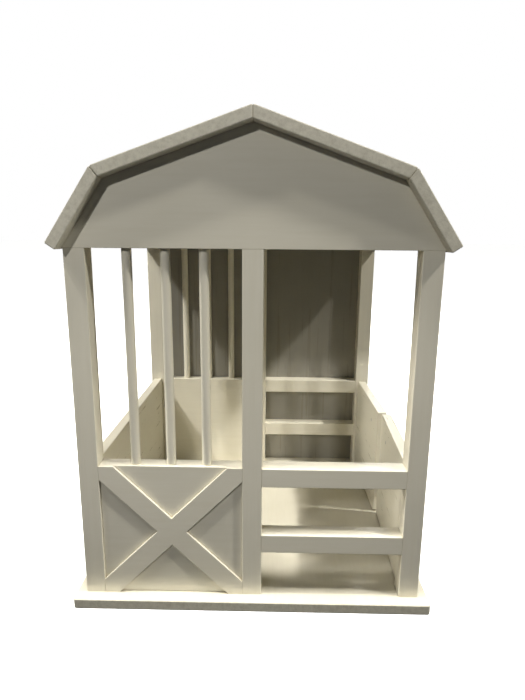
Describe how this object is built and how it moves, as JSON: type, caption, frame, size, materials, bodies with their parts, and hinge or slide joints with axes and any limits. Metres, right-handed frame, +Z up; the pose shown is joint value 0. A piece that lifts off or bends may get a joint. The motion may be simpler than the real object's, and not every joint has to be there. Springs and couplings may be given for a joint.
{
  "type": "toy stable",
  "caption": "Table-top wooden toy stable with a gambrel roof, half-height walls, round bars and rails at the front, and hinged doors in one side.",
  "frame": {"origin": "middle of the base plate's underside", "axes": "+Z up; the front, with the crossed half panel and the rails, faces -Y; the doors are on the +X side"},
  "size_m": [0.371, 0.378, 0.49],
  "materials": {
    "frame_paint": "satin cream paint over wood",
    "wall_paint": "satin cream paint over fibreboard",
    "roof_paint": "satin cream paint over fibreboard",
    "base_paint": "glossier cream paint over fibreboard",
    "knob_paint": "gloss cream paint over turned wood",
    "back_board": "satin grey-brown board",
    "bare_wood": "bare beech",
    "hinge_metal": "darkened metal",
    "steel": "bright steel"
  },
  "bodies": {
    "stable": {"front_left_post": "frame_paint", "front_centre_post": "frame_paint", "front_right_post": "frame_paint", "rear_left_post": "frame_paint", "rear_centre_post": "frame_paint", "rear_right_post": "frame_paint", "front_gable": "frame_paint", "rear_gable": "frame_paint", "front_upper_rail": "frame_paint", "front_lower_rail": "frame_paint", "rear_upper_rail": "frame_paint", "rear_lower_rail": "frame_paint", "front_bar_1": "frame_paint", "front_bar_2": "frame_paint", "front_bar_3": "frame_paint", "rear_bar_1": "frame_paint", "rear_bar_2": "frame_paint", "rear_bar_3": "frame_paint", "front_half_panel": "wall_paint", "front_long_brace": "wall_paint", "front_short_braces": "wall_paint", "rear_half_panel": "wall_paint", "rear_long_brace": "wall_paint", "rear_short_braces": "wall_paint", "left_wall": "wall_paint", "roof_left_lower": "roof_paint", "roof_left_upper": "roof_paint", "roof_right_upper": "roof_paint", "roof_right_lower": "roof_paint", "base_plate": "base_paint", "back_panel": "back_board", "joint_pegs": "bare_wood", "base_screws": "steel", "roof_brads": "steel", "back_nails": "steel", "front_door_post_screws": "hinge_metal", "front_door_lower_hinge_post_plate": "hinge_metal", "front_door_upper_hinge_post_plate": "hinge_metal", "front_door_lower_hinge_pin": "hinge_metal", "front_door_upper_hinge_pin": "hinge_metal", "rear_door_post_screws": "hinge_metal", "rear_door_lower_hinge_post_plate": "hinge_metal", "rear_door_upper_hinge_post_plate": "hinge_metal", "rear_door_lower_hinge_pin": "hinge_metal", "rear_door_upper_hinge_pin": "hinge_metal"},
    "front_leaf": {"right_front_door": "wall_paint", "front_door_lower_hinge_leaf_plate": "hinge_metal", "front_door_upper_hinge_leaf_plate": "hinge_metal", "front_door_leaf_screws": "hinge_metal", "front_door_knob": "knob_paint", "front_knob_screw": "steel"},
    "rear_leaf": {"right_rear_door": "wall_paint", "rear_door_lower_hinge_leaf_plate": "hinge_metal", "rear_door_upper_hinge_leaf_plate": "hinge_metal", "rear_door_leaf_screws": "hinge_metal", "rear_door_knob": "knob_paint", "rear_knob_screw": "steel"}
  },
  "joints": [
    {"name": "front_leaf_swing", "type": "hinge", "parent": "stable", "child": "front_leaf", "pos_m": [0.1712, -0.1528, 0.08325], "axis": [0, 0, -1], "range_deg": [-2.9, 130]},
    {"name": "rear_leaf_swing", "type": "hinge", "parent": "stable", "child": "rear_leaf", "pos_m": [0.1732, 0.1528, 0.08325], "axis": [0, 0, 1], "range_deg": [-0.6, 165]}
  ]
}
